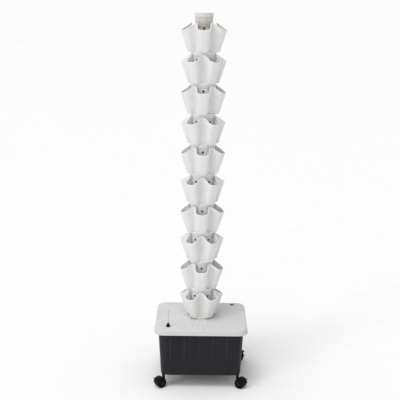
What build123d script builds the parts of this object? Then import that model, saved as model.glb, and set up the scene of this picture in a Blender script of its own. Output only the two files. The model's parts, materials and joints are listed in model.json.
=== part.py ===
"""Hydroponic tower: ten five-cup planting tiers stacked on a wheeled water tank. Millimetres, +Z up.

The origin is on the floor under the tower axis, and the front of the tower faces -Y.
"""

import os
from math import acos, atan2, cos, hypot, radians, sin, tan

from build123d import *

# Tower
tier_count = 10
tier_pitch = 136.4
cup_count = 5
cup_step = 360 / cup_count

# Planting tier, with heights above the cup floors
cup_tip_height = 94
cup_tip_radius = 103
cup_foot_radius = 71.5
cup_half_width_at_tip = 31
cup_half_width_at_foot = 22
cup_bend_at_tip = 24
cup_bend_at_foot = 16
valley_radius_at_tip = 58
valley_radius_at_foot = 43
valley_round_at_tip = 10
valley_round_at_foot = 8
rim_angle = 32
tier_wall = 2.5
mouth_lip = 5
mouth_cut_start = 10
well_height = 114
well_top_radius = 53
well_foot_radius = 38
well_wall = 3
web_thickness = 3
web_height = 105
neck_root_radius = 57.5
neck_foot_radius = 52.5
neck_mouth_gap = 1.2
lip_depth = 6
lip_wall = 2.4
lip_clearance = 0.6
port_radius = 5.5
port_height = 102
pipe_hole_radius = 12.5
drip_hole_radius = 3
drip_circle_radius = 24
drain_circle_radius = 46.5

# Water tank
tank_floor_length = 370
tank_floor_width = 334
tank_draft = 12
tank_height = 228
tank_wall = 3
tank_floor_thickness = 3.5
tank_corner_radius = 36
tank_rim_reach = 8
tank_rim_thickness = 3
tank_edge_chamfer = 7
rib_width = 22
rib_pitch = 65
rib_rise = 1.6
rib_start = 82
front_rib_count = 5
side_rib_count = 4

# Tank lid
lid_thickness = 3
lid_end_play = 5.5
lid_side_play = 1.5
lid_corner_radius = 45
lid_skirt = 25
lid_edge_fillet = 9
lid_bead_reach = 1.5
lid_bead_height = 4
hub_rise = 4
hub_top_radius = 66
hub_foot_radius = 92
hub_wall = 3
hub_clearance = 0.6
tower_stand = 12
slot_length = 12
slot_width = 4
slot_circle_radius = 79
slot_count = 4
ray_count = 36
ray_rise = 1.2
ray_margin = 16
ray_corner_radius = 37
ray_clearance = 2

# Top cup and its lid
top_cup_drop = 22
top_cup_radius = 38.3
top_cup_foot_radius = 36
top_cup_wall = 2.5
top_cup_height = 52
top_flange_thickness = 3
top_skirt_drop = 6
top_skirt_wall = 2
top_skirt_clearance = 0.4
top_lid_thickness = 4
top_lid_skirt = 17
top_lid_wall = 2.3
top_lid_clearance = 0.4
top_lid_fillet = 1.2
standpipe_height = 28
standpipe_wall = 2.7
standpipe_clearance = 0.3
top_drip_count = 12
top_drip_radius = 2

# Riser pipe
pipe_radius = 8
pipe_wall = 1.5
pipe_lengths = 3
coupling_length = 36
coupling_wall = 2.4
coupling_clearance = 0.05

# Pump
pump_length = 60
pump_width = 52
pump_height = 44
pump_front = -14
pump_corner = 6
chamber_radius = 17
chamber_depth = 24
rotor_radius = 8
rotor_length = 26
rotor_clearance = 0.6
impeller_radius = 14.5
impeller_plate = 3
blade_count = 6
blade_length = 13.5
blade_height = 9
blade_thickness = 2
shaft_radius = 1.5
shaft_clearance = 0.05
shaft_seat = 4
shaft_start = 2.5
inlet_cover_thickness = 5
inlet_slot_count = 5
inlet_slot_width = 3
inlet_slot_pitch = 6
inlet_slot_length = 26
foot_height = 8
foot_radius = 7
foot_neck_radius = 3.5
foot_peg_height = 3.5
foot_hollow = 2
foot_inset = 10
outlet_boss_radius = 11
outlet_boss_height = 8
outlet_bore_radius = 6.5
outlet_clearance = 0.05
adapter_collar = 4
adapter_socket_depth = 18
adapter_step = 2.5

# Water level float
float_end_inset = 62.5
float_side_inset = 49.5
rod_radius = 2.5
rod_show = 72
rod_tip_radius = 3.6
rod_tip_height = 8
rod_tip_fillet = 1.8
float_radius = 14
float_height = 40
float_edge_fillet = 2.5
float_lift = 0.5
float_rod_clearance = 0.02
guide_radius = 10.5
guide_top_radius = 4.2
guide_height = 18
guide_stem_radius = 6
guide_stem_drop = 8
guide_clearance = 0.3
guide_seat_clearance = 0.05

# Cable grommet
grommet_end_inset = 62.5
grommet_side_inset = 34.5
grommet_radius = 8.5
grommet_bore_radius = 6
grommet_flange_reach = 2.5
grommet_flange_thickness = 2
grommet_clearance = 0.05

# Casters
caster_end_inset = 13
caster_side_inset = 24
caster_toe = 35
caster_offset = 18
caster_pad_radius = 8.5
caster_pad_height = 4
stem_flange_radius = 7.5
stem_flange_thickness = 3
stem_radius = 4
stem_spigot_radius = 4.5
stem_spigot_height = 3
stem_spigot_clearance = 0.05
stem_pin_length = 7
stem_clearance = 0.05
swivel_gap = 0.4
collar_rise = 8
collar_radius = 7
collar_height = 22
wheel_radius = 22
wheel_width = 16
wheel_edge = 1.5
wheel_dish = 3
wheel_rim = 5
wheel_hub_radius = 7
wheel_gap = 0.6
hood_gap = 1.2
hood_wall = 2
hood_from = 0
hood_to = 150
web_half = 2.6
web_hub_radius = 9
axle_radius = 3
axle_running_clearance = 0.05
axle_seat_clearance = 0.02
axle_head_radius = 5
axle_head_length = 1.5
axle_head_gap = 0.3
lever_angle = 44
lever_hub_radius = 3.2
lever_half_width = 12.5
lever_ear_radius = 3.4
lever_ear_width = 4
lever_pin_radius = 1.6
lever_pin_clearance = 0.05
lever_gap = 0.4
lever_lift = 1.3
lever_tab_reach = 14
lever_tab_tilt = 30
lever_tab_thickness = 3
lever_window_half_angle = 15

# Places that follow from the sizes above
lid_reach = tank_draft + tank_rim_reach + lid_thickness
lid_length = tank_floor_length + 2 * (lid_reach + lid_end_play)
lid_width = tank_floor_width + 2 * (lid_reach + lid_side_play)
float_x = float_end_inset - lid_length / 2
float_y = float_side_inset - lid_width / 2
grommet_x = lid_length / 2 - grommet_end_inset
grommet_y = lid_width / 2 - grommet_side_inset
caster_x = tank_floor_length / 2 - caster_end_inset
caster_y = tank_floor_width / 2 - caster_side_inset

# Heights above the floor that follow from the sizes above
pad_bottom = 2 * wheel_radius + hood_gap + hood_wall + stem_flange_thickness + swivel_gap + collar_rise
tank_bottom = pad_bottom + caster_pad_height
tank_top = tank_bottom + tank_height
water_floor = tank_bottom + tank_floor_thickness
lid_top = tank_top + lid_thickness
first_tier = lid_top + tower_stand
top_seat = first_tier + (tier_count - 1) * tier_pitch + well_height
neck_height = tier_pitch - well_height
socket_floor = first_tier - neck_height


def save(piece, label):
    """Name a finished piece and write it."""
    piece.label = label
    export_step(piece, f"parts/{label}.step")


def turned(points, origin=(0, 0, 0), along=(0, 0, 1), mode=Mode.ADD):
    """Turn a closed outline of (radius, distance along the axis) points about an axis."""
    side = Vector(0, 1, 0) if along[0] else Vector(1, 0, 0)
    with BuildSketch(Plane(origin=origin, x_dir=side, z_dir=side.cross(Vector(*along)))) as section:
        with BuildLine():
            Polyline(*points, close=True)
        make_face()
    revolve(section.sketch, axis=Axis(origin, along), mode=mode)


def rod(radius, start, end, origin=(0, 0, 0), along=(0, 0, 1), mode=Mode.ADD):
    """A plain round bar, or a round hole, between two distances along an axis."""
    turned([(0, start), (radius, start), (radius, end), (0, end)], origin, along, mode)


def tube(inner, outer, start, end, origin=(0, 0, 0), along=(0, 0, 1)):
    """A ring between two distances along an axis."""
    turned([(inner, start), (outer, start), (outer, end), (inner, end)], origin, along)


def between(foot, tip, height):
    """A tier size at a height, on the straight line through its foot and tip values."""
    return foot + (tip - foot) * height / cup_tip_height


def around(centre, radius, angle):
    """The point at an angle on a circle."""
    return (centre[0] + radius * cos(angle), centre[1] + radius * sin(angle))


def star(height, inset):
    """The five-cupped section of a tier at a height, set in from the outer skin."""
    bend = between(cup_bend_at_foot, cup_bend_at_tip, height)
    bend_reach = between(cup_foot_radius, cup_tip_radius, height) - bend
    bend_spread = between(cup_half_width_at_foot, cup_half_width_at_tip, height) - bend
    dip = between(valley_round_at_foot, valley_round_at_tip, height)
    dip_centre = between(valley_radius_at_foot, valley_radius_at_tip, height) + dip
    half_step = radians(cup_step / 2)
    run_x = dip_centre * cos(half_step) - bend_reach
    run_y = dip_centre * sin(half_step) - bend_spread
    flank = atan2(run_y, run_x) - acos((bend + dip) / hypot(run_x, run_y))
    bend_radius = hypot(bend_reach, bend_spread)
    bend_angle = atan2(bend_spread, bend_reach)
    bend -= inset
    dip += inset
    with BuildSketch(Plane.XY.offset(height)) as section:
        with BuildLine():
            for cup in range(cup_count):
                axis = radians(cup * cup_step - 90)
                valley = axis + half_step
                following = valley + half_step
                near_bend = around((0, 0), bend_radius, axis - bend_angle)
                far_bend = around((0, 0), bend_radius, axis + bend_angle)
                next_bend = around((0, 0), bend_radius, following - bend_angle)
                hollow = around((0, 0), dip_centre, valley)
                front_start = around(near_bend, bend, axis)
                front_end = around(far_bend, bend, axis)
                cup_end = around(far_bend, bend, axis + flank)
                dip_start = around(hollow, -dip, axis + flank)
                dip_end = around(hollow, -dip, following - flank)
                ThreePointArc(
                    around(near_bend, bend, axis - flank),
                    around(near_bend, bend, axis - flank / 2),
                    front_start,
                )
                Line(front_start, front_end)
                ThreePointArc(front_end, around(far_bend, bend, axis + flank / 2), cup_end)
                Line(cup_end, dip_start)
                ThreePointArc(dip_start, around(hollow, -dip, valley), dip_end)
                Line(dip_end, around(next_bend, bend, following - flank))
        make_face()
    return section.sketch


def star_block(start, end, inset, mode=Mode.ADD):
    """A straight-sided block through two five-cupped sections."""
    loft([star(start, inset), star(end, inset)], ruled=True, mode=mode)


def rounded_plate(height, length, width, radius):
    """A rounded rectangle at a height."""
    with BuildSketch(Plane.XY.offset(height)) as section:
        RectangleRounded(length, width, radius)
    return section.sketch


def tub(start, end, length, width, radius, spread, mode=Mode.ADD):
    """A rounded block that grows by the spread on every side towards its top."""
    foot = rounded_plate(start, length, width, radius)
    top = rounded_plate(end, length + 2 * spread, width + 2 * spread, radius + spread)
    loft([foot, top], ruled=True, mode=mode)


os.makedirs("parts", exist_ok=True)

# Planting tier, with its cup floors at height 0 and one cup facing the front
rim_slope = tan(radians(rim_angle))
rim_peak = cup_tip_height + cup_tip_radius * rim_slope
rim_top = rim_peak - tier_wall
block_top = rim_peak - well_foot_radius * rim_slope
well_slope = (well_top_radius - well_foot_radius) / well_height
well_bore = well_top_radius - well_wall
well_bore_foot = well_foot_radius - well_wall
neck_slope = (neck_root_radius - neck_foot_radius) / neck_height
lip_radius = well_bore - well_slope * lip_depth - lip_clearance
ridge_height = rim_peak - valley_radius_at_tip * cos(radians(cup_step / 2)) * rim_slope
neck_mouth = neck_root_radius - neck_slope * (tier_pitch - ridge_height) + neck_mouth_gap

with BuildPart() as rim_pyramid:
    with BuildSketch(Plane.XY.offset(-tier_wall)):
        RegularPolygon((rim_peak + tier_wall) / rim_slope, cup_count, major_radius=False, rotation=90)
    with BuildSketch(Plane.XY.offset(rim_top)):
        RegularPolygon(tier_wall / rim_slope, cup_count, major_radius=False, rotation=90)
    loft(ruled=True)

with BuildPart() as tier_outside:
    star_block(0, block_top, 0)
    add(rim_pyramid.part, mode=Mode.INTERSECT)

with BuildPart() as tier_cavity:
    star_block(tier_wall, block_top, tier_wall)
    with Locations((0, 0, -tier_wall)):
        add(rim_pyramid.part, mode=Mode.INTERSECT)

with BuildPart() as tier_webs:
    with PolarLocations(0, cup_count, start_angle=cup_step / 2 - 90):
        Box(
            valley_radius_at_tip,
            web_thickness,
            web_height,
            align=(Align.MIN, Align.CENTER, Align.MIN),
        )
    add(tier_outside.part, mode=Mode.INTERSECT)

with BuildPart() as tier:
    add(tier_outside.part)
    add(tier_cavity.part, mode=Mode.SUBTRACT)
    star_block(mouth_cut_start, block_top, mouth_lip, mode=Mode.SUBTRACT)
    rod(neck_mouth, well_height, rim_peak, mode=Mode.SUBTRACT)
    add(tier_webs.part)
    turned([(0, 0), (well_foot_radius, 0), (well_top_radius, well_height), (0, well_height)])
    turned(
        [
            (0, 0),
            (neck_root_radius - tier_wall, 0),
            (neck_root_radius - tier_wall, tier_wall),
            (0, tier_wall),
        ]
    )
    turned(
        [
            (neck_root_radius, tier_wall),
            (neck_root_radius, 0),
            (neck_foot_radius, -neck_height),
            (lip_radius, -neck_height),
            (lip_radius, -neck_height - lip_depth),
            (lip_radius - lip_wall, -neck_height - lip_depth),
            (lip_radius - lip_wall, tier_wall - neck_height),
            (neck_foot_radius - tier_wall, tier_wall - neck_height),
            (neck_root_radius - tier_wall, 0),
            (neck_root_radius - tier_wall, tier_wall),
        ]
    )
    turned(
        [
            (0, tier_wall),
            (well_bore_foot + well_slope * tier_wall, tier_wall),
            (well_bore, well_height),
            (0, well_height),
        ],
        mode=Mode.SUBTRACT,
    )
    for cup in range(cup_count):
        angle = radians(cup * cup_step - 90)
        outward = (cos(angle), sin(angle), 0)
        with BuildSketch(Plane(origin=(0, 0, port_height), z_dir=outward)):
            Circle(port_radius)
        extrude(amount=well_top_radius + well_wall, mode=Mode.SUBTRACT)
    rod(pipe_hole_radius, 0, tier_wall, mode=Mode.SUBTRACT)
    with BuildSketch():
        with PolarLocations(drip_circle_radius, cup_count, start_angle=-90):
            Circle(drip_hole_radius)
        with PolarLocations(drain_circle_radius, cup_count, start_angle=-90):
            Circle(drip_hole_radius)
    extrude(amount=tier_wall, mode=Mode.SUBTRACT)

for level in range(tier_count):
    turn = cup_step / 2 if level % 2 == 0 else 0
    with BuildPart() as pot_tier:
        with Locations(Location((0, 0, first_tier + level * tier_pitch), (0, 0, turn))):
            add(tier.part)
    save(pot_tier.part, f"pot_tier_{level + 1:02d}")

# Water tank: a drafted tub with upright ribs and caster pads
caster_corners = [
    (caster_x, -caster_y, -caster_toe),
    (-caster_x, -caster_y, 180 + caster_toe),
    (caster_x, caster_y, caster_toe),
    (-caster_x, caster_y, caster_toe),
]

with BuildPart() as rib_bars:
    tub(
        tank_bottom,
        tank_top,
        tank_floor_length + 2 * rib_rise,
        tank_floor_width + 2 * rib_rise,
        tank_corner_radius + rib_rise,
        tank_draft,
    )
    with BuildSketch(Plane.XY.offset(tank_bottom + rib_start)):
        with GridLocations(rib_pitch, 0, front_rib_count, 1):
            Rectangle(rib_width, 2 * tank_floor_width)
        with GridLocations(0, rib_pitch, 1, side_rib_count):
            Rectangle(2 * tank_floor_length, rib_width)
    extrude(amount=tank_height - rib_start, mode=Mode.INTERSECT)

with BuildPart() as tank_inside:
    tub(
        water_floor,
        tank_top,
        tank_floor_length - 2 * tank_wall,
        tank_floor_width - 2 * tank_wall,
        tank_corner_radius - tank_wall,
        tank_draft,
    )
    chamfer(tank_inside.faces().sort_by(Axis.Z)[0].edges(), tank_edge_chamfer)

with BuildPart() as tank:
    tub(tank_bottom, tank_top, tank_floor_length, tank_floor_width, tank_corner_radius, tank_draft)
    chamfer(tank.faces().sort_by(Axis.Z)[0].edges(), tank_edge_chamfer)
    add(rib_bars.part)
    with BuildSketch(Plane.XY.offset(tank_top - tank_rim_thickness)):
        RectangleRounded(
            tank_floor_length + 2 * (tank_draft + tank_rim_reach),
            tank_floor_width + 2 * (tank_draft + tank_rim_reach),
            tank_corner_radius + tank_draft + tank_rim_reach,
        )
    extrude(amount=tank_rim_thickness)
    for corner_x, corner_y, _ in caster_corners:
        rod(caster_pad_radius, pad_bottom, water_floor + tank_edge_chamfer, (corner_x, corner_y, 0))
    add(tank_inside.part, mode=Mode.SUBTRACT)
    for corner_x, corner_y, _ in caster_corners:
        rod(
            stem_spigot_radius + stem_spigot_clearance,
            pad_bottom,
            pad_bottom + stem_spigot_height + swivel_gap,
            (corner_x, corner_y, 0),
            mode=Mode.SUBTRACT,
        )
save(tank.part, "tank")

# Tank lid: a skirted plate with a rayed top, a socket for the tower and holes for float and cable
socket_top = lid_top + hub_rise
socket_radius = neck_foot_radius + neck_slope * (socket_top - socket_floor) + hub_clearance
socket_foot_radius = neck_foot_radius + hub_clearance
lid_hole_radius = lip_radius + lip_clearance
skirt_bottom = lid_top - lid_skirt
ray_spread = lid_length * tan(radians(90 / ray_count))

with BuildPart() as lid:
    with BuildSketch(Plane.XY.offset(skirt_bottom)):
        RectangleRounded(lid_length, lid_width, lid_corner_radius)
    extrude(amount=lid_skirt)
    fillet(lid.faces().sort_by(Axis.Z)[-1].edges(), lid_edge_fillet)
    with BuildSketch(Plane.XY.offset(skirt_bottom)):
        RectangleRounded(
            lid_length + 2 * lid_bead_reach,
            lid_width + 2 * lid_bead_reach,
            lid_corner_radius + lid_bead_reach,
        )
    extrude(amount=lid_bead_height)
    with BuildSketch(Plane.XY.offset(skirt_bottom)):
        RectangleRounded(
            lid_length - 2 * lid_thickness,
            lid_width - 2 * lid_thickness,
            lid_corner_radius - lid_thickness,
        )
    extrude(amount=lid_skirt - lid_thickness, mode=Mode.SUBTRACT)
    with BuildSketch(Plane.XY.offset(lid_top)):
        with PolarLocations(0, ray_count):
            Polygon((0, 0), (lid_length, -ray_spread), (lid_length, ray_spread), align=None)
        RectangleRounded(
            lid_length - 2 * ray_margin,
            lid_width - 2 * ray_margin,
            ray_corner_radius,
            mode=Mode.INTERSECT,
        )
        Circle(hub_foot_radius, mode=Mode.SUBTRACT)
        with Locations((float_x, float_y)):
            Circle(guide_radius + ray_clearance, mode=Mode.SUBTRACT)
        with Locations((grommet_x, grommet_y)):
            Circle(grommet_radius + grommet_flange_reach + ray_clearance, mode=Mode.SUBTRACT)
    extrude(amount=ray_rise)
    turned(
        [
            (0, tank_top),
            (hub_foot_radius, tank_top),
            (hub_foot_radius, lid_top),
            (hub_top_radius, socket_top),
            (0, socket_top),
        ]
    )
    rod(socket_foot_radius + hub_wall, socket_floor - hub_wall, tank_top)
    turned(
        [
            (0, socket_floor),
            (socket_foot_radius, socket_floor),
            (socket_radius, socket_top),
            (0, socket_top),
        ],
        mode=Mode.SUBTRACT,
    )
    rod(lid_hole_radius, socket_floor - hub_wall, socket_floor, mode=Mode.SUBTRACT)
    with BuildSketch(Plane.XY.offset(tank_top)):
        with PolarLocations(slot_circle_radius, slot_count, start_angle=-90):
            Rectangle(slot_length, slot_width)
    extrude(amount=lid_thickness + hub_rise, mode=Mode.SUBTRACT)
    rod(
        guide_stem_radius + guide_seat_clearance,
        tank_top,
        lid_top,
        (float_x, float_y, 0),
        mode=Mode.SUBTRACT,
    )
    rod(
        grommet_radius + grommet_clearance,
        tank_top,
        lid_top,
        (grommet_x, grommet_y, 0),
        mode=Mode.SUBTRACT,
    )
save(lid.part, "tank_lid")

# Top cup: a dripper that sits in the top tier like a neck, with a standpipe over the end of the riser
cup_floor = top_seat - top_cup_drop
cup_top = top_seat + top_cup_height
skirt_bore = well_top_radius + top_skirt_clearance
standpipe_bore = pipe_radius + standpipe_clearance
standpipe_radius = standpipe_bore + standpipe_wall
riser_top = cup_floor + standpipe_height - standpipe_wall

with BuildPart() as top_cup:
    turned(
        [
            (standpipe_bore, cup_floor),
            (top_cup_foot_radius, cup_floor),
            (top_cup_foot_radius, top_seat - lip_depth),
            (lip_radius, top_seat - lip_depth),
            (lip_radius, top_seat),
            (skirt_bore, top_seat),
            (skirt_bore, top_seat - top_skirt_drop),
            (skirt_bore + top_skirt_wall, top_seat - top_skirt_drop),
            (skirt_bore + top_skirt_wall, top_seat + top_flange_thickness),
            (top_cup_foot_radius, top_seat + top_flange_thickness),
            (top_cup_radius, cup_top),
            (top_cup_radius - top_cup_wall, cup_top),
            (top_cup_foot_radius - top_cup_wall, cup_floor + top_cup_wall),
            (standpipe_radius, cup_floor + top_cup_wall),
            (standpipe_radius, cup_floor + standpipe_height),
            (standpipe_bore, cup_floor + standpipe_height),
        ]
    )
    with BuildSketch(Plane.XY.offset(cup_floor)):
        with PolarLocations((standpipe_radius + top_cup_foot_radius - top_cup_wall) / 2, top_drip_count):
            Circle(top_drip_radius)
    extrude(amount=top_cup_wall, mode=Mode.SUBTRACT)
save(top_cup.part, "top_cup")

top_lid_bore = top_cup_radius + top_lid_clearance
with BuildPart() as top_lid:
    turned(
        [
            (0, cup_top),
            (top_lid_bore, cup_top),
            (top_lid_bore, cup_top - top_lid_skirt),
            (top_lid_bore + top_lid_wall, cup_top - top_lid_skirt),
            (top_lid_bore + top_lid_wall, cup_top + top_lid_thickness),
            (0, cup_top + top_lid_thickness),
        ]
    )
    fillet(top_lid.faces().sort_by(Axis.Z)[-1].edges(), top_lid_fillet)
save(top_lid.part, "top_lid")

# Pump: housing, inlet cover, impeller on its shaft, suction feet and outlet adapter
pump_bottom = water_floor + foot_height
pump_axis = pump_bottom + pump_height / 2
pump_top = pump_bottom + pump_height
pump_spot = (0, pump_front, pump_axis)
rotor_bore = rotor_radius + rotor_clearance
rotor_end = chamber_depth + rotor_length
adapter_bottom = pump_top + outlet_boss_height
pipe_seat = adapter_bottom + adapter_collar
adapter_bore = pipe_radius + coupling_clearance
adapter_radius = adapter_bore + coupling_wall

with BuildPart() as pump_body:
    with Locations((0, pump_front, pump_bottom)):
        Box(pump_width, pump_length, pump_height, align=(Align.CENTER, Align.MIN, Align.MIN))
    fillet(pump_body.edges().filter_by(Axis.Y), pump_corner)
    rod(outlet_boss_radius, pump_axis, adapter_bottom)
    rod(chamber_radius, 0, chamber_depth, pump_spot, (0, 1, 0), mode=Mode.SUBTRACT)
    rod(rotor_bore, chamber_depth, rotor_end + rotor_clearance, pump_spot, (0, 1, 0), mode=Mode.SUBTRACT)
    rod(
        shaft_radius,
        rotor_end + rotor_clearance,
        rotor_end + rotor_clearance + shaft_seat,
        pump_spot,
        (0, 1, 0),
        mode=Mode.SUBTRACT,
    )
    rod(outlet_bore_radius, pump_axis, adapter_bottom, mode=Mode.SUBTRACT)
    with BuildSketch(Plane.XY.offset(pump_bottom)):
        with Locations((0, pump_front + pump_length / 2)):
            with GridLocations(pump_width - 2 * foot_inset, pump_length - 2 * foot_inset, 2, 2):
                Circle(foot_neck_radius)
    extrude(amount=foot_peg_height, mode=Mode.SUBTRACT)
save(pump_body.part, "pump_body")

with BuildPart() as inlet_cover:
    with BuildSketch(Plane(origin=pump_spot, x_dir=(1, 0, 0), z_dir=(0, -1, 0))):
        RectangleRounded(pump_width, pump_height, pump_corner)
        with GridLocations(inlet_slot_pitch, 0, inlet_slot_count, 1):
            SlotOverall(inlet_slot_length, inlet_slot_width, rotation=90, mode=Mode.SUBTRACT)
    extrude(amount=inlet_cover_thickness)
save(inlet_cover.part, "pump_inlet_cover")

with BuildPart() as pump_shaft:
    rod(shaft_radius, shaft_start, rotor_end + rotor_clearance + shaft_seat, pump_spot, (0, 1, 0))
save(pump_shaft.part, "pump_shaft")

plate_start = chamber_depth - impeller_plate - rotor_clearance
with BuildPart() as impeller:
    rod(rotor_radius, plate_start, rotor_end, pump_spot, (0, 1, 0))
    rod(impeller_radius, plate_start, plate_start + impeller_plate, pump_spot, (0, 1, 0))
    rod(rotor_radius / 2, plate_start - blade_height, plate_start, pump_spot, (0, 1, 0))
    with BuildSketch(Plane(origin=(0, pump_front + plate_start, pump_axis), z_dir=(0, -1, 0))):
        with PolarLocations(impeller_radius / 2, blade_count):
            Rectangle(blade_length, blade_thickness)
    extrude(amount=blade_height)
    rod(shaft_radius + shaft_clearance, 0, rotor_end, pump_spot, (0, 1, 0), mode=Mode.SUBTRACT)
save(impeller.part, "pump_impeller")

with BuildPart() as pump_feet:
    for side_x in (-1, 1):
        for end_y in (-1, 1):
            foot_x = side_x * (pump_width / 2 - foot_inset)
            foot_y = pump_front + pump_length / 2 + end_y * (pump_length / 2 - foot_inset)
            turned(
                [
                    (0, water_floor + foot_hollow),
                    (foot_radius - foot_hollow, water_floor),
                    (foot_radius, water_floor),
                    (foot_neck_radius, pump_bottom - foot_hollow),
                    (foot_neck_radius, pump_bottom + foot_peg_height),
                    (0, pump_bottom + foot_peg_height),
                ],
                (foot_x, foot_y, 0),
            )
save(pump_feet.part, "pump_feet")

with BuildPart() as outlet_adapter:
    turned(
        [
            (pipe_radius - adapter_step, pump_top),
            (outlet_bore_radius - outlet_clearance, pump_top),
            (outlet_bore_radius - outlet_clearance, adapter_bottom),
            (adapter_radius, adapter_bottom),
            (adapter_radius, pipe_seat + adapter_socket_depth),
            (adapter_bore, pipe_seat + adapter_socket_depth),
            (adapter_bore, pipe_seat),
            (pipe_radius - adapter_step, pipe_seat),
        ]
    )
save(outlet_adapter.part, "pump_outlet_adapter")

# Riser pipe: equal lengths, end to end in couplings
pipe_run = (riser_top - pipe_seat) / pipe_lengths
for length_number in range(pipe_lengths):
    pipe_start = pipe_seat + length_number * pipe_run
    with BuildPart() as riser:
        tube(pipe_radius - pipe_wall, pipe_radius, pipe_start, pipe_start + pipe_run)
    save(riser.part, f"riser_pipe_{length_number + 1}")

for joint_number in range(1, pipe_lengths):
    joint_height = pipe_seat + joint_number * pipe_run
    with BuildPart() as coupling:
        tube(
            pipe_radius + coupling_clearance,
            pipe_radius + coupling_clearance + coupling_wall,
            joint_height - coupling_length / 2,
            joint_height + coupling_length / 2,
        )
    save(coupling.part, f"riser_coupling_{joint_number}")

# Water level float: a rod through a cone on the lid, with the float on its foot
float_spot = (float_x, float_y, 0)
float_bottom = water_floor + float_lift
float_top = float_bottom + float_height
rod_top = lid_top + rod_show

with BuildPart() as float_guide:
    turned(
        [
            (rod_radius + guide_clearance, tank_top - guide_stem_drop),
            (guide_stem_radius, tank_top - guide_stem_drop),
            (guide_stem_radius, lid_top),
            (guide_radius, lid_top),
            (guide_top_radius, lid_top + guide_height),
            (rod_radius + guide_clearance, lid_top + guide_height),
        ],
        float_spot,
    )
save(float_guide.part, "float_guide")

with BuildPart() as float_rod:
    rod(rod_radius, float_bottom, rod_top, float_spot)
save(float_rod.part, "float_rod")

with BuildPart() as rod_tip:
    rod(rod_tip_radius, rod_top, rod_top + rod_tip_height, float_spot)
    fillet(rod_tip.faces().sort_by(Axis.Z)[-1].edges(), rod_tip_fillet)
save(rod_tip.part, "float_rod_tip")

with BuildPart() as float_body:
    tube(rod_radius + float_rod_clearance, float_radius, float_bottom, float_top, float_spot)
    fillet(float_body.edges().filter_by(GeomType.CIRCLE).group_by(SortBy.RADIUS)[-1], float_edge_fillet)
save(float_body.part, "float_body")

# Cable grommet: a rubber ring that grips the edge of the lid hole from both sides
grommet_flange = grommet_radius + grommet_flange_reach
with BuildPart() as grommet:
    turned(
        [
            (grommet_bore_radius, tank_top - grommet_flange_thickness),
            (grommet_flange, tank_top - grommet_flange_thickness),
            (grommet_flange, tank_top),
            (grommet_radius, tank_top),
            (grommet_radius, lid_top),
            (grommet_flange, lid_top),
            (grommet_flange, lid_top + grommet_flange_thickness),
            (grommet_bore_radius, lid_top + grommet_flange_thickness),
        ],
        (grommet_x, grommet_y, 0),
    )
save(grommet.part, "cable_grommet")

# One caster, trailing towards +X from its swivel axis
axle_spot = (caster_offset, 0, wheel_radius)
wheel_inside = web_half + wheel_gap
wheel_outside = wheel_inside + wheel_width
hub_outside = wheel_outside - axle_head_length
axle_end = hub_outside + axle_head_gap + axle_head_length
hood_radius = wheel_radius + hood_gap + hood_wall
pocket_radius = wheel_radius + hood_gap
hood_half = wheel_outside + wheel_gap
flange_bottom = pad_bottom - stem_flange_thickness
collar_top = flange_bottom - swivel_gap
pin_bottom = flange_bottom - stem_pin_length
lever_radius = wheel_radius + lever_lift + lever_hub_radius
lever_spot = (
    caster_offset + lever_radius * cos(radians(lever_angle)),
    0,
    wheel_radius + lever_radius * sin(radians(lever_angle)),
)
ear_start = lever_half_width + lever_gap
ear_end = ear_start + lever_ear_width


def hood_sector(radius, start, end, half_width, mode):
    """A pie-shaped block about the axle, between two angles."""
    with BuildSketch(Plane.XZ) as sector:
        with BuildLine():
            hub = (caster_offset, wheel_radius)
            Line(hub, around(hub, radius, radians(start)))
            CenterArc(hub, radius, start, end - start)
            Line(around(hub, radius, radians(end)), hub)
        make_face()
    extrude(sector.sketch, amount=half_width, both=True, mode=mode)


with BuildPart() as hood:
    hood_sector(hood_radius, hood_from, hood_to, hood_half, Mode.ADD)
    rod(web_hub_radius, -hood_half, hood_half, axle_spot, (0, 1, 0))
    rod(collar_radius, collar_top - collar_height, collar_top)
    for side in (-1, 1):
        rod(pocket_radius, side * web_half, side * hood_half, axle_spot, (0, 1, 0), mode=Mode.SUBTRACT)
    rod(axle_radius + axle_seat_clearance, -web_half, web_half, axle_spot, (0, 1, 0), mode=Mode.SUBTRACT)
    rod(stem_radius + stem_clearance, pin_bottom - swivel_gap, collar_top, mode=Mode.SUBTRACT)
    hood_sector(
        hood_radius,
        lever_angle - lever_window_half_angle,
        lever_angle + lever_window_half_angle,
        lever_half_width + lever_gap,
        Mode.SUBTRACT,
    )
    for side in (-1, 1):
        rod(lever_ear_radius, side * ear_start, side * ear_end, lever_spot, (0, 1, 0))
        rod(
            lever_pin_radius + lever_pin_clearance,
            side * ear_start,
            side * ear_end,
            lever_spot,
            (0, 1, 0),
            mode=Mode.SUBTRACT,
        )

with BuildPart() as brake_lever:
    rod(lever_hub_radius, -lever_half_width, lever_half_width, lever_spot, (0, 1, 0))
    rod(lever_pin_radius, -ear_end, ear_end, lever_spot, (0, 1, 0))
    with Locations(Location(lever_spot, (0, -lever_tab_tilt, 0))):
        Box(
            lever_tab_reach,
            2 * lever_half_width,
            lever_tab_thickness,
            align=(Align.MIN, Align.CENTER, Align.CENTER),
        )

with BuildPart() as axle:
    rod(axle_radius, -axle_end, axle_end, axle_spot, (0, 1, 0))
    for side in (-1, 1):
        rod(axle_head_radius, side * (hub_outside + axle_head_gap), side * axle_end, axle_spot, (0, 1, 0))

with BuildPart() as stem:
    rod(stem_spigot_radius, pad_bottom, pad_bottom + stem_spigot_height)
    rod(stem_flange_radius, flange_bottom, pad_bottom)
    rod(stem_radius, pin_bottom, flange_bottom)


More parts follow.
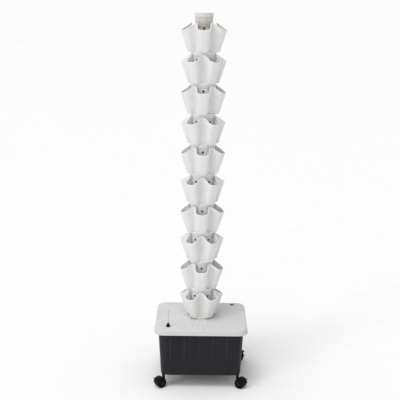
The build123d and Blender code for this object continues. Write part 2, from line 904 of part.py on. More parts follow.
def wheel(side):
    """A dished wheel on one side of the web."""
    dish_floor = wheel_outside - wheel_dish
    profile = [
        (axle_radius + axle_running_clearance, wheel_inside),
        (wheel_radius - wheel_edge, wheel_inside),
        (wheel_radius, wheel_inside + wheel_edge),
        (wheel_radius, wheel_outside - wheel_edge),
        (wheel_radius - wheel_edge, wheel_outside),
        (wheel_radius - wheel_rim, wheel_outside),
        (wheel_radius - wheel_rim - wheel_edge, dish_floor),
        (wheel_hub_radius, dish_floor),
        (wheel_hub_radius, hub_outside),
        (axle_radius + axle_running_clearance, hub_outside),
    ]
    turned([(radius, side * reach) for radius, reach in profile], axle_spot, (0, 1, 0))


with BuildPart() as near_wheel:
    wheel(-1)

with BuildPart() as far_wheel:
    wheel(1)

corner_names = ["front_right", "front_left", "rear_right", "rear_left"]
for corner_name, (corner_x, corner_y, turn) in zip(corner_names, caster_corners):
    pieces = {
        "stem": stem,
        "hood": hood,
        "axle": axle,
        "wheel_a": near_wheel,
        "wheel_b": far_wheel,
        "brake": brake_lever,
    }
    for piece_name, piece in pieces.items():
        with BuildPart() as placed:
            with Locations(Location((corner_x, corner_y, 0), (0, 0, turn))):
                add(piece.part)
        save(placed.part, f"caster_{corner_name}_{piece_name}")
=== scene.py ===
"""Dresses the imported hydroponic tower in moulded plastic, rubber and steel and sets it in a plain studio."""

import json
from collections import namedtuple
from math import acos, atan2, cos, hypot, pi, radians, sin, sqrt, tan

import bmesh
import bpy
from bpy.props import FloatProperty, FloatVectorProperty, IntProperty, PointerProperty
from bpy.types import Operator, Panel, PropertyGroup
from mathutils import Matrix, Quaternion, Vector

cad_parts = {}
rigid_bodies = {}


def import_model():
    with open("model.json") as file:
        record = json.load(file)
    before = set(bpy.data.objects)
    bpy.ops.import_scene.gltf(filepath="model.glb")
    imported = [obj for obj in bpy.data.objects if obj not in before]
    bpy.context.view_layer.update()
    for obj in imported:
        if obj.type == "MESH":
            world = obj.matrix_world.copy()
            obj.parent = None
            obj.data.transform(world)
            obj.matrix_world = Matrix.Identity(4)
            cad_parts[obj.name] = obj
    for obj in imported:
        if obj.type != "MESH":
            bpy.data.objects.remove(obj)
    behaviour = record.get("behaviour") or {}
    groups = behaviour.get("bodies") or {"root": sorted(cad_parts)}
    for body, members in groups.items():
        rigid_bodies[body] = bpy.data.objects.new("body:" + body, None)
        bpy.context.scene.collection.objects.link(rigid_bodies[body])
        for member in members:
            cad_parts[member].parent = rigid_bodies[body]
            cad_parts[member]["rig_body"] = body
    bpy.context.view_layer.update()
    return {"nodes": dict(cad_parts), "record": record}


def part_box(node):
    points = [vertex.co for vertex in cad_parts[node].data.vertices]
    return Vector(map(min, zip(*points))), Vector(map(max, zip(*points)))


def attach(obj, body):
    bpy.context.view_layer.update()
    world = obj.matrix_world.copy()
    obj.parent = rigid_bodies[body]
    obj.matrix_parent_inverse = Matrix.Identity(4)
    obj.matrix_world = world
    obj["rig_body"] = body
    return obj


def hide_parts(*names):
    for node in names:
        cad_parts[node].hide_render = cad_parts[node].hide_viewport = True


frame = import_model()

bl_info = {
    "name": "Hydroponic Tower",
    "version": (1, 0, 0),
    "blender": (4, 5, 0),
    "location": "View3D > Sidebar > Tower",
    "description": "Dresses the packed tower, piece by piece, and sets its stage",
    "category": "Object",
}

MM = 0.001

# Sizes that the dressed pieces share with the CAD nodes, in millimetres
CUPS = 5
CUP_STEP = 2 * pi / CUPS
CUP_TIP_HEIGHT = 94
WELL_HEIGHT = 114
WELL_FOOT = 38
WELL_TOP = 53
WELL_WALL = 3
NECK_HEIGHT = 22.4
NECK_LIP = 6
PIPE_HOLE = 12.5
DRAIN_HOLE = 3
DRIP_CIRCLE = 24
DRAIN_CIRCLE = 46.5
PORT_HEIGHT = 102
TANK_LENGTH, TANK_WIDTH, TANK_CORNER = 370, 334, 36
TANK_HEIGHT = 228
TANK_DRAFT = 12
TANK_WALL = 3
TANK_FLOOR = 3.5
TANK_FOOT_ROUND = 7
TANK_RIM_REACH = 8
RIB_PITCH = 65
RIB_START = 82
RIB_EDGE = 11
LID_LENGTH, LID_WIDTH, LID_CORNER = 427, 383, 45
LID_THICKNESS = 3
LID_SKIRT = 25
LID_SHOULDER = 9
HUB_RISE = 4
HUB_TOP = 66
HUB_FOOT = 92
SLOT_CIRCLE = 79
TOWER_STAND = 12
CUP_DROP = 22
CUP_RISE = 52
GUIDE_DROP = 8
FLOAT_SPOT = (-151, -142)
GROMMET_SPOT = (151, 157)
GROMMET_RADIUS = 8.5
CASTER_SPOT = (172, 143)
CASTER_PAD = 8.5
CASTER_PAD_HEIGHT = 4

# A warm painted shade round the hub under the lowest tier's foot, and a grey haze that age leaves in the top
# cup
HUB_WARM_PAINTED_SHADE = (0.72, 0.62, 0.53)
CUP_HAZE = (0.62, 0.60, 0.58)

SLOT_OF_NODE = {part["node"]: part["material_slot"] for part in frame["record"]["subparts"]}
CORNERS = ("front_right", "front_left", "rear_right", "rear_left")
TIER_NODES = sorted(node for node in frame["nodes"] if node.startswith("pot_tier_"))

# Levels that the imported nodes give, in millimetres
TANK_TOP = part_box("float_guide")[0].z / MM + GUIDE_DROP
TANK_BOTTOM = TANK_TOP - TANK_HEIGHT
LID_TOP = TANK_TOP + LID_THICKNESS
TIER_FOOT = [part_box(node)[0].z / MM + NECK_HEIGHT + NECK_LIP for node in TIER_NODES]
TOP_SEAT = TIER_FOOT[-1] + WELL_HEIGHT


class TierSettings(PropertyGroup):
    """Sizes and colour of the planting tiers."""

    wall: FloatProperty(
        name="Wall", description="Thickness of the cup walls", default=2.5 * MM, unit="LENGTH"
    )
    lip: FloatProperty(
        name="Lip", description="Width of the rolled lip round the mouths", default=5 * MM, unit="LENGTH"
    )
    port: FloatProperty(
        name="Port", description="Radius of the water port into each cup", default=5.5 * MM, unit="LENGTH"
    )
    rim_angle: FloatProperty(
        name="Rim Angle", description="Slope of the mouths", default=radians(32), subtype="ANGLE"
    )
    colour: FloatVectorProperty(
        name="Colour", description="Tier plastic", subtype="COLOR", default=(0.74, 0.74, 0.735)
    )


class LidSettings(PropertyGroup):
    """Sizes and colour of the tank lid."""

    ray_count: IntProperty(name="Rays", description="Raised rays round the hub", default=36)
    ray_rise: FloatProperty(
        name="Ray Rise", description="Height of the rays above the lid", default=1.2 * MM, unit="LENGTH"
    )
    colour: FloatVectorProperty(
        name="Colour", description="Lid plastic", subtype="COLOR", default=(0.645, 0.645, 0.643)
    )


class TankSettings(PropertyGroup):
    """Sizes and colour of the water tank."""

    rib_rise: FloatProperty(
        name="Rib Rise", description="Height of the upright ribs", default=2.2 * MM, unit="LENGTH"
    )
    rib_width: FloatProperty(
        name="Rib Width", description="Width of the upright ribs", default=22 * MM, unit="LENGTH"
    )
    colour: FloatVectorProperty(
        name="Colour", description="Tank plastic", subtype="COLOR", default=(0.0115, 0.0110, 0.0147)
    )


class TopSettings(PropertyGroup):
    """Colours of the top cup and its lid."""

    cup_colour: FloatVectorProperty(
        name="Cup Colour", description="Top cup plastic", subtype="COLOR", default=(0.63, 0.58, 0.53)
    )
    lid_colour: FloatVectorProperty(
        name="Lid Colour", description="Top lid plastic", subtype="COLOR", default=(0.635, 0.63, 0.625)
    )


class FittingSettings(PropertyGroup):
    """Colours and edges of the small fittings."""

    edge: FloatProperty(
        name="Edge", description="Radius of the softened edges", default=0.6 * MM, unit="LENGTH"
    )
    black: FloatVectorProperty(
        name="Black", description="Black moulded plastic", subtype="COLOR", default=(0.003, 0.003, 0.003)
    )
    rubber: FloatVectorProperty(
        name="Rubber", description="Soft rubber", subtype="COLOR", default=(0.24, 0.24, 0.24)
    )
    rod: FloatVectorProperty(
        name="Rod", description="Float rod plastic", subtype="COLOR", default=(0.52, 0.52, 0.51)
    )
    pipe: FloatVectorProperty(
        name="Pipe", description="Riser pipe plastic", subtype="COLOR", default=(0.62, 0.62, 0.61)
    )
    foam: FloatVectorProperty(
        name="Foam", description="Float foam", subtype="COLOR", default=(0.70, 0.66, 0.55)
    )
    steel: FloatVectorProperty(
        name="Steel", description="Blacked steel", subtype="COLOR", default=(0.05, 0.05, 0.053)
    )


class StageSettings(PropertyGroup):
    """Camera, light and floor."""

    lens: FloatProperty(name="Lens", description="Focal length in millimetres", default=74.57)
    distance: FloatProperty(
        name="Distance", description="Camera in front of the tower", default=3.732, unit="LENGTH"
    )
    height: FloatProperty(
        name="Height", description="Camera above the floor", default=1.701, unit="LENGTH"
    )
    pitch: FloatProperty(
        name="Pitch", description="Camera below the horizon", default=radians(12.708), subtype="ANGLE"
    )
    roll: FloatProperty(
        name="Roll", description="Lean of the picture", default=radians(0.6), subtype="ANGLE"
    )
    slide: FloatProperty(name="Slide", description="Sideways shift of the picture", default=-0.0058)
    floor_colour: FloatVectorProperty(
        name="Floor", description="Studio floor", subtype="COLOR", default=(0.96, 0.96, 0.96)
    )


# Meshes


def finished(name, points, faces, sharp=35):
    """A smooth-shaded mesh with creases where it bends by more than the given angle."""
    mesh = bpy.data.meshes.new(name)
    mesh.from_pydata([Vector(p) * MM for p in points], [], faces)
    work = bmesh.new()
    work.from_mesh(mesh)
    bmesh.ops.remove_doubles(work, verts=work.verts, dist=1e-7)
    bmesh.ops.recalc_face_normals(work, faces=work.faces)
    work.to_mesh(mesh)
    work.free()
    crease(mesh, sharp)
    return mesh


def crease(mesh, sharp):
    """Shade smooth, apart from edges sharper than an angle in degrees."""
    mesh.polygons.foreach_set("use_smooth", [True] * len(mesh.polygons))
    mesh.set_sharp_from_angle(angle=radians(sharp))


def skin(rings, closed=False):
    """Points and faces of a surface through equal rings, capped at both ends or closed on itself."""
    count = len(rings[0])
    points = [point for ring in rings for point in ring]
    faces = []
    spans = len(rings) if closed else len(rings) - 1
    for row in range(spans):
        here = row * count
        there = (row + 1) % len(rings) * count
        for column in range(count):
            beside = (column + 1) % count
            faces.append((here + column, here + beside, there + beside, there + column))
    if not closed:
        last = (len(rings) - 1) * count
        faces.append(tuple(range(count)))
        faces.append(tuple(last + column for column in range(count)))
    return points, faces


def joined(parts):
    """Points and faces of several closed parts together."""
    points, faces = [], []
    for part_points, part_faces in parts:
        start = len(points)
        points += part_points
        faces += [tuple(start + index for index in face) for face in part_faces]
    return points, faces


def circle(radius, height, count=96, centre=(0, 0)):
    """A ring of points about the vertical."""
    turns = [2 * pi * step / count for step in range(count)]
    return [(centre[0] + radius * cos(a), centre[1] + radius * sin(a), height) for a in turns]


def turned(profile, count=96, centre=(0, 0), closed=True):
    """Points and faces of a profile of (radius, height) turned about the vertical."""
    return skin([circle(radius, height, count, centre) for radius, height in profile], closed)


def bend(start, corner, end, steps=4):
    """Profile points round a corner, from a start point to an end point."""
    points = []
    for step in range(steps + 1):
        t = step / steps
        points.append(
            tuple(
                (1 - t) ** 2 * a + 2 * t * (1 - t) * b + t**2 * c for a, b, c in zip(start, corner, end)
            )
        )
    return points


def softened_profile(profile, radius, steps=3):
    """A closed profile with every corner rounded by up to a radius."""
    points = []
    for index, corner in enumerate(profile):
        before, after = Vector(profile[index - 1]), Vector(profile[(index + 1) % len(profile)])
        here = Vector(corner)
        back, ahead = before - here, after - here
        reach = min(radius, back.length * 0.45, ahead.length * 0.45)
        points += bend(here + back.normalized() * reach, here, here + ahead.normalized() * reach, steps)
    return [tuple(point) for point in points]


def placed(name, mesh, body, material, matrix=None):
    """An object for a mesh, riding on a CAD body."""
    thing = bpy.data.objects.new(name, mesh)
    bpy.context.scene.collection.objects.link(thing)
    if not mesh.materials:
        mesh.materials.append(material)
    if matrix is not None:
        thing.matrix_world = matrix
    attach(thing, body)
    return thing


def body_of(node):
    """The CAD body that a node belongs to."""
    return frame["nodes"][node]["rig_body"]


def carved(mesh, cutters, sharp=35):
    """A copy of a mesh with closed cutters taken out of it."""
    points, faces = joined(cutters)
    blade = bpy.data.objects.new("blade", finished("blade", points, faces))
    block = bpy.data.objects.new("block", mesh)
    for thing in (blade, block):
        bpy.context.scene.collection.objects.link(thing)
    cut = block.modifiers.new("cut", "BOOLEAN")
    cut.operation = "DIFFERENCE"
    cut.solver = "EXACT"
    cut.object = blade
    depsgraph = bpy.context.evaluated_depsgraph_get()
    result = bpy.data.meshes.new_from_object(block.evaluated_get(depsgraph))
    result.name = mesh.name
    for thing in (blade, block):
        bpy.data.objects.remove(thing)
    crease(result, sharp)
    return result


def merged(name, meshes):
    """Several meshes as one."""
    work = bmesh.new()
    for mesh in meshes:
        work.from_mesh(mesh)
    whole = bpy.data.meshes.new(name)
    work.to_mesh(whole)
    work.free()
    crease(whole, 35)
    return whole


def peg(radius, start, end, count=32):
    """A closed round bar between two points."""
    along = (Vector(end) - Vector(start)).normalized()
    aside = along.orthogonal().normalized()
    across = along.cross(aside)
    rings = []
    for spot in (start, end):
        ring = []
        for step in range(count):
            a = 2 * pi * step / count
            ring.append(tuple(Vector(spot) + (aside * cos(a) + across * sin(a)) * radius))
        rings.append(ring)
    return skin(rings)


def softened(node, edge, sharp=30):
    """A mesh copied from a CAD node, with its hard edges rounded."""
    work = bmesh.new()
    work.from_mesh(frame["nodes"][node].data)
    bmesh.ops.remove_doubles(work, verts=work.verts, dist=1e-6)
    bmesh.ops.dissolve_limit(work, angle_limit=radians(1), verts=work.verts, edges=work.edges)
    hard = [e for e in work.edges if e.is_manifold and e.calc_face_angle(0) > radians(sharp)]
    bmesh.ops.bevel(work, geom=hard, offset=edge, segments=2, profile=0.5, affect="EDGES", clamp_overlap=True)
    mesh = bpy.data.meshes.new(node)
    work.to_mesh(mesh)
    work.free()
    crease(mesh, sharp)
    return mesh


# Materials


def ranged(tree, value, low, high, start, end):
    """A node that maps a socket from a start and an end to a low and a high."""
    node = tree.nodes.new("ShaderNodeMapRange")
    for name, number in (("From Min", start), ("From Max", end), ("To Min", low), ("To Max", high)):
        node.inputs[name].default_value = number
    tree.links.new(value, node.inputs["Value"])
    return node


class Recipe:
    """Builds a node material on one principled shader."""

    def __init__(self, name, metallic=0.0):
        self.material = bpy.data.materials.new(name)
        self.material.use_nodes = True
        self.tree = self.material.node_tree
        self.nodes = self.tree.nodes
        self.links = self.tree.links
        self.shader = self.nodes["Principled BSDF"]
        self.shader.inputs["Metallic"].default_value = metallic
        coordinates = self.nodes.new("ShaderNodeTexCoord")
        self.place = coordinates.outputs["Object"]
        self.normal = coordinates.outputs["Normal"]

    def set(self, socket, value):
        """A value that is the same all over."""
        self.shader.inputs[socket].default_value = value

    def noise(self, scale, detail=3, stretch=(1, 1, 1), distortion=0.0):
        """A noise pattern over the object, stretched along its axes."""
        mapping = self.nodes.new("ShaderNodeMapping")
        mapping.inputs["Scale"].default_value = stretch
        self.links.new(self.place, mapping.inputs["Vector"])
        pattern = self.nodes.new("ShaderNodeTexNoise")
        pattern.inputs["Scale"].default_value = scale
        pattern.inputs["Detail"].default_value = detail
        pattern.inputs["Distortion"].default_value = distortion
        self.links.new(mapping.outputs["Vector"], pattern.inputs["Vector"])
        return pattern.outputs["Fac"]

    def spread(self, value, low, high, start=0.3, end=0.7):
        """A pattern mapped to a range."""
        return ranged(self.tree, value, low, high, start, end).outputs["Result"]

    def fed(self, kind, operation, values):
        """A node for an operation on sockets and plain values."""
        node = self.nodes.new(kind)
        node.operation = operation
        for socket, value in zip(node.inputs, values):
            if hasattr(value, "is_linked"):
                self.links.new(value, socket)
            else:
                socket.default_value = value
        return node

    def math(self, operation, *values):
        """A number from an operation on numbers."""
        return self.fed("ShaderNodeMath", operation, values).outputs["Value"]

    def measure(self, operation, *values):
        """A number from an operation on vectors."""
        return self.fed("ShaderNodeVectorMath", operation, values).outputs["Value"]

    def axes(self):
        """The place along each axis, as sockets X, Y and Z."""
        node = self.nodes.new("ShaderNodeSeparateXYZ")
        self.links.new(self.place, node.inputs["Vector"])
        return node.outputs

    def outward(self):
        """The level vector from the tower's axis to the surface."""
        return self.fed("ShaderNodeVectorMath", "MULTIPLY", (self.place, (1, 1, 0))).outputs["Vector"]

    def mixed(self, factor, first, second):
        """Two colours, or a colour and a socket, mixed by a pattern."""
        node = self.nodes.new("ShaderNodeMix")
        node.data_type = "RGBA"
        self.links.new(factor, node.inputs["Factor"])
        for socket, value in ((node.inputs[6], first), (node.inputs[7], second)):
            if hasattr(value, "is_linked"):
                self.links.new(value, socket)
            else:
                socket.default_value = (*value[:3], 1)
        return node.outputs[2]

    def tone(self, colour_socket):
        self.links.new(colour_socket, self.shader.inputs["Base Color"])

    def gloss(self, roughness_socket):
        self.links.new(roughness_socket, self.shader.inputs["Roughness"])

    def bumps(self, *layers):
        """Bump layers of (height socket, strength, distance in metres), one on the other."""
        below = None
        for height, strength, distance in layers:
            node = self.nodes.new("ShaderNodeBump")
            node.inputs["Strength"].default_value = strength
            node.inputs["Distance"].default_value = distance
            self.links.new(height, node.inputs["Height"])
            if below is not None:
                self.links.new(below, node.inputs["Normal"])
            below = node.outputs["Normal"]
        self.links.new(below, self.shader.inputs["Normal"])


def shade(colour, amount):
    """A colour made lighter or darker."""
    return tuple(min(1.0, channel * amount) for channel in colour)


def well_painted_light_mask(recipe):
    """A mask of the wells and necks near the tower's axis and of the faces turned towards it, where painted
    light brightens the tier plastic in place of light through its thin walls.
    """
    outward = recipe.outward()
    near = recipe.spread(recipe.measure("LENGTH", outward), 1, 0, WELL_FOOT * MM, WELL_TOP * MM)
    inward = recipe.spread(recipe.measure("DOT_PRODUCT", outward, recipe.normal), 1, 0, -10 * MM, 0)
    return recipe.math("MAXIMUM", near, inward)


def moulded(name, colour, roughness, grain=0.05, mottle=0.05, specular=0.5, inside=1.0):
    """Moulded plastic: a faint mottle, uneven gloss, fine grain and a long soft ripple, with painted light
    that lightens the wells and inner faces by the inside factor.
    """
    recipe = Recipe(name)
    cloud = recipe.noise(9, 4)
    tone = recipe.mixed(recipe.spread(cloud, 0, 1), shade(colour, 1 - mottle), shade(colour, 1 + mottle))
    # Painted light: the wells and the faces turned to the axis are made lighter, standing in for light through
    # the thin walls.
    if inside != 1.0:
        tone = recipe.mixed(well_painted_light_mask(recipe), tone, shade(colour, inside))
    recipe.tone(tone)
    recipe.gloss(recipe.spread(recipe.noise(38, 5), roughness - 0.06, roughness + 0.08))
    recipe.bumps(
        (recipe.noise(14, 1), 0.10, 0.0012),
        (recipe.noise(1500, 2), grain, 0.0003),
    )
    recipe.set("Specular IOR Level", specular)
    return recipe.material


def rib_edge_highlights(recipe):
    """A mask of painted highlights along the ribs' edges on all four walls of the tank, stronger on the lit
    side.
    """
    axes = recipe.axes()
    lines = None
    wave = 2 * pi / RIB_PITCH
    walls = (("X", "Y", 0, TANK_WIDTH), ("Y", "X", RIB_PITCH / 2, TANK_LENGTH))
    for along, out, shift, size in walls:
        depth = recipe.math("ABSOLUTE", axes[out])
        wall = recipe.spread(depth, 0, 1, (size / 2 - 4) * MM, (size / 2 - 2) * MM)
        for edge, strength in ((RIB_EDGE, 1), (-RIB_EDGE, 0.6)):
            turn = recipe.math("MULTIPLY_ADD", axes[along], wave / MM, wave * (shift + edge))
            line = recipe.spread(recipe.math("COSINE", turn), 0, strength, 0.93, 1.0)
            line = recipe.math("MULTIPLY", line, wall)
            lines = line if lines is None else recipe.math("MAXIMUM", lines, line)
    start = (TANK_BOTTOM + RIB_START) * MM
    return recipe.math("MULTIPLY", lines, recipe.spread(axes["Z"], 0, 1, start, start + 10 * MM))


def tank_plastic(colour):
    """Charcoal plastic with a pebbled grain, pale scuffs, painted highlights along the rib edges and a faint
    upright drag.
    """
    recipe = Recipe("tank_plastic")
    drag = recipe.noise(60, 3, (1, 1, 0.05))
    scuff = recipe.spread(recipe.noise(26, 9, (1, 1, 0.5), 0.6), 0, 0.28, 0.60, 0.78)
    tone = recipe.mixed(recipe.spread(drag, 0, 1), shade(colour, 0.86), shade(colour, 1.16))
    tone = recipe.mixed(scuff, tone, shade(colour, 2.2))
    # Painted highlight: pale lines on the rib edges, where light catches them.
    tone = recipe.mixed(rib_edge_highlights(recipe), tone, shade(colour, 1.9))
    recipe.tone(tone)
    recipe.gloss(recipe.spread(recipe.noise(30, 5), 0.44, 0.60))
    recipe.bumps((drag, 0.08, 0.0010), (recipe.noise(1100, 2), 0.16, 0.0004))
    recipe.set("Specular IOR Level", 0.20)
    return recipe.material


def lid_plastic(colour, rays):
    """Pale lid plastic with a stippled skin, painted lighter along its raised rays and greyer between them as
    their highlight and shade, with painted shade on the skirt and a warm painted shade round the hub.
    """
    recipe = Recipe("lid_plastic")
    axes = recipe.axes()
    angle = recipe.math("ARCTAN2", axes["Y"], axes["X"])
    # Painted highlight and shade: the top is made lighter along the raised rays and greyer between them, as
    # light falls across them.
    wave = recipe.math("COSINE", recipe.math("MULTIPLY", angle, rays))
    patch = recipe.spread(recipe.noise(11, 4, (1, 1, 1), 0.5), 0.1, 1.0)
    flat = recipe.spread(axes["Z"], 0, 1, (LID_TOP - 2) * MM, LID_TOP * MM)
    streak = recipe.math("MULTIPLY", recipe.spread(wave, 0, 1, -1, 1), recipe.math("MULTIPLY", patch, flat))
    # Painted shade: the skirt is made darker than the top.
    skirt_shaded_tone = recipe.mixed(flat, shade(colour, 0.88), shade(colour, 0.95))
    tone = recipe.mixed(streak, skirt_shaded_tone, shade(colour, 1.10))
    radius = recipe.measure("LENGTH", recipe.outward())
    # Painted shade: a warm tint round the hub top, where the lowest tier's foot stands on the lid.
    ring = recipe.spread(radius, 0.38, 0, HUB_TOP * MM, (HUB_TOP + 4) * MM)
    recipe.tone(recipe.mixed(ring, tone, HUB_WARM_PAINTED_SHADE))
    recipe.gloss(recipe.spread(recipe.noise(38, 5), 0.38, 0.54))
    recipe.bumps((recipe.noise(14, 1), 0.10, 0.0012), (recipe.noise(1200, 2), 0.14, 0.0003))
    recipe.set("Specular IOR Level", 0.40)
    return recipe.material


def cup_plastic(colour):
    """Beige cup plastic with upright streaks and a painted shadow that darkens it towards its foot, inside the
    tier.
    """
    recipe = Recipe("cup_plastic")
    streak = recipe.noise(120, 4, (1, 1, 0.06))
    tone = recipe.mixed(recipe.spread(streak, 0, 1, 0.35, 0.65), shade(colour, 0.80), shade(colour, 1.22))
    tone = recipe.mixed(recipe.spread(recipe.noise(22, 4), 0, 0.35), tone, CUP_HAZE)
    # Painted shadow: the cup darkens towards its foot, where the top tier shades it.
    foot = recipe.spread(recipe.axes()["Z"], 0.75, 0, (TOP_SEAT + 4) * MM, (TOP_SEAT + 34) * MM)
    recipe.tone(recipe.mixed(foot, tone, shade(colour, 0.55)))
    recipe.gloss(recipe.spread(recipe.noise(50, 4), 0.34, 0.54))
    recipe.bumps((streak, 0.25, 0.0008), (recipe.noise(1200, 2), 0.05, 0.0003))
    recipe.set("Subsurface Weight", 0.06)
    recipe.set("Subsurface Radius", (0.004, 0.003, 0.002))
    return recipe.material


def blacked_steel(colour):
    """Blacked steel with fine turning marks and dull patches."""
    recipe = Recipe("steel", metallic=1.0)
    marks = recipe.noise(700, 3, (0.15, 0.15, 1))
    dulled = recipe.spread(recipe.noise(90, 4), 0, 1)
    recipe.tone(recipe.mixed(dulled, shade(colour, 0.85), shade(colour, 1.1)))
    recipe.gloss(recipe.spread(recipe.noise(160, 4), 0.24, 0.44))
    recipe.bumps((marks, 0.12, 0.0003))
    return recipe.material


def float_foam(colour):
    """Closed-cell foam with open pores in its skin."""
    recipe = Recipe("float_foam")
    cells = recipe.nodes.new("ShaderNodeTexVoronoi")
    cells.inputs["Scale"].default_value = 900
    recipe.links.new(recipe.place, cells.inputs["Vector"])
    pores = cells.outputs["Distance"]
    recipe.tone(recipe.mixed(recipe.spread(pores, 1, 0, 0.05, 0.4), colour, shade(colour, 0.7)))
    recipe.gloss(recipe.spread(recipe.noise(60, 4), 0.72, 0.9))
    recipe.bumps((pores, 0.4, 0.0005))
    return recipe.material


MATERIALS = {}


def material_for(slot):
    """The material of a record slot, made once."""
    if slot in MATERIALS:
        return MATERIALS[slot]
    scene = bpy.context.scene
    fittings = scene.tower_fittings
    makers = {
        # The tier plastic's inside factor of 1.26 paints light into the wells and inner cup faces.
        "white_plastic": lambda: moulded(
            "white_plastic", scene.tower_tiers.colour, 0.36, 0.05, 0.02, 0.45, inside=1.26
        ),
        "lid_plastic": lambda: lid_plastic(scene.tower_lid.colour, scene.tower_lid.ray_count),
        "tank_plastic": lambda: tank_plastic(scene.tower_tank.colour),
        "cup_plastic": lambda: cup_plastic(scene.tower_top.cup_colour),
        "cap_plastic": lambda: moulded("cap_plastic", scene.tower_top.lid_colour, 0.40, 0.06, 0.04),
        "black_plastic": lambda: moulded("black_plastic", fittings.black, 0.42, 0.14, 0.14, 0.12),
        "wheel_plastic": lambda: moulded("wheel_plastic", fittings.black, 0.52, 0.20, 0.25, 0.10),
        "rubber": lambda: moulded("rubber", fittings.rubber, 0.72, 0.30, 0.20, 0.25),
        "steel": lambda: blacked_steel(fittings.steel),
        "rod_plastic": lambda: moulded("rod_plastic", fittings.rod, 0.34, 0.05, 0.05),
        "float_foam": lambda: float_foam(fittings.foam),
        "pipe_plastic": lambda: moulded("pipe_plastic", fittings.pipe, 0.40, 0.08, 0.04),
    }
    MATERIALS[slot] = makers[slot]()
    return MATERIALS[slot]


def dressed(name, mesh, node, matrix=None):
    """An object that stands for a CAD node, with that node's body and finish."""
    slot = SLOT_OF_NODE[node]
    thing = placed(name, mesh, body_of(node), material_for(slot), matrix)
    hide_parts(node)
    return thing


def softened_nodes(nodes, edge):
    """Rounded stand-ins for CAD nodes, each named after its node."""
    for node in nodes:
        dressed(f"{node}_cover", softened(node, edge), node)


# Planting tier

CupOutline = namedtuple("CupOutline", "reach half_width corner dip dip_centre")
CUP_TIP = CupOutline(reach=103, half_width=31, corner=24, dip=10, dip_centre=68)
CUP_FOOT = CupOutline(reach=71.5, half_width=22, corner=16, dip=8, dip_centre=51)


def star(outline, inset):
    """One ring of (x, y) points round a tier at its cup floors or tips, set in from the outer skin."""
    corner, dip, dip_centre = outline.corner, outline.dip, outline.dip_centre
    half_step = CUP_STEP / 2
    corner_reach, corner_spread = outline.reach - corner, outline.half_width - corner
    run_x = dip_centre * cos(half_step) - corner_reach
    run_y = dip_centre * sin(half_step) - corner_spread
    flank = atan2(run_y, run_x) - acos((corner + dip) / hypot(run_x, run_y))
    corner -= inset
    dip += inset
    ring = []

    def arc(centre, radius, start, end, steps):
        for step in range(steps):
            a = start + (end - start) * step / steps
            ring.append((centre[0] + radius * cos(a), centre[1] + radius * sin(a)))

    def line(start, end, steps):
        for step in range(steps):
            t = step / steps
            ring.append((start[0] + (end[0] - start[0]) * t, start[1] + (end[1] - start[1]) * t))

    def spot(radius, angle, centre=(0, 0)):
        return (centre[0] + radius * cos(angle), centre[1] + radius * sin(angle))

    corner_radius = hypot(corner_reach, corner_spread)
    corner_angle = atan2(corner_spread, corner_reach)
    for cup in range(CUPS):
        axis = cup * CUP_STEP - pi / 2
        following = axis + CUP_STEP
        near = spot(corner_radius, axis - corner_angle)
        far = spot(corner_radius, axis + corner_angle)
        beyond = spot(corner_radius, following - corner_angle)
        hollow = spot(dip_centre, axis + half_step)
        arc(near, corner, axis - flank, axis, 9)
        line(spot(corner, axis, near), spot(corner, axis, far), 3)
        arc(far, corner, axis, axis + flank, 9)
        line(spot(corner, axis + flank, far), spot(-dip, axis + flank, hollow), 3)
        arc(hollow, -dip, axis + flank, following - flank, 9)
        line(spot(-dip, following - flank, hollow), spot(corner, following - flank, beyond), 3)
    return ring


class TierForm:
    """The flared five-cup wall of a tier, and its sloping rim."""

    def __init__(self, rim_angle):
        self.slope = tan(rim_angle)
        self.peak = CUP_TIP_HEIGHT + CUP_TIP.reach * self.slope
        self.rings = {}

    def ends(self, inset):
        """The foot and tip rings at an inset."""
        if inset not in self.rings:
            self.rings[inset] = (star(CUP_FOOT, inset), star(CUP_TIP, inset))
        return self.rings[inset]

    def at(self, inset, heights):
        """A ring of points at an inset, each at its own height."""
        foot, tip = self.ends(inset)
        ring = []
        for (fx, fy), (tx, ty), z in zip(foot, tip, heights):
            t = z / CUP_TIP_HEIGHT
            ring.append((fx + (tx - fx) * t, fy + (ty - fy) * t, z))
        return ring

    def rim(self, inset, lift=0.0):
        """The heights of the rim round a ring."""
        heights = []
        axes = [(cos(cup * CUP_STEP - pi / 2), sin(cup * CUP_STEP - pi / 2)) for cup in range(CUPS)]
        for (fx, fy), (tx, ty) in zip(*self.ends(inset)):
            cuts = []
            for ax, ay in axes:
                foot = fx * ax + fy * ay
                grow = ((tx - fx) * ax + (ty - fy) * ay) / CUP_TIP_HEIGHT
                cuts.append((self.peak - self.slope * foot) / (1 + self.slope * grow))
            heights.append(min(cuts) + lift)
        return heights

    def level(self, inset, height):
        """A flat ring at an inset."""
        return self.at(inset, [height] * len(self.ends(inset)[0]))


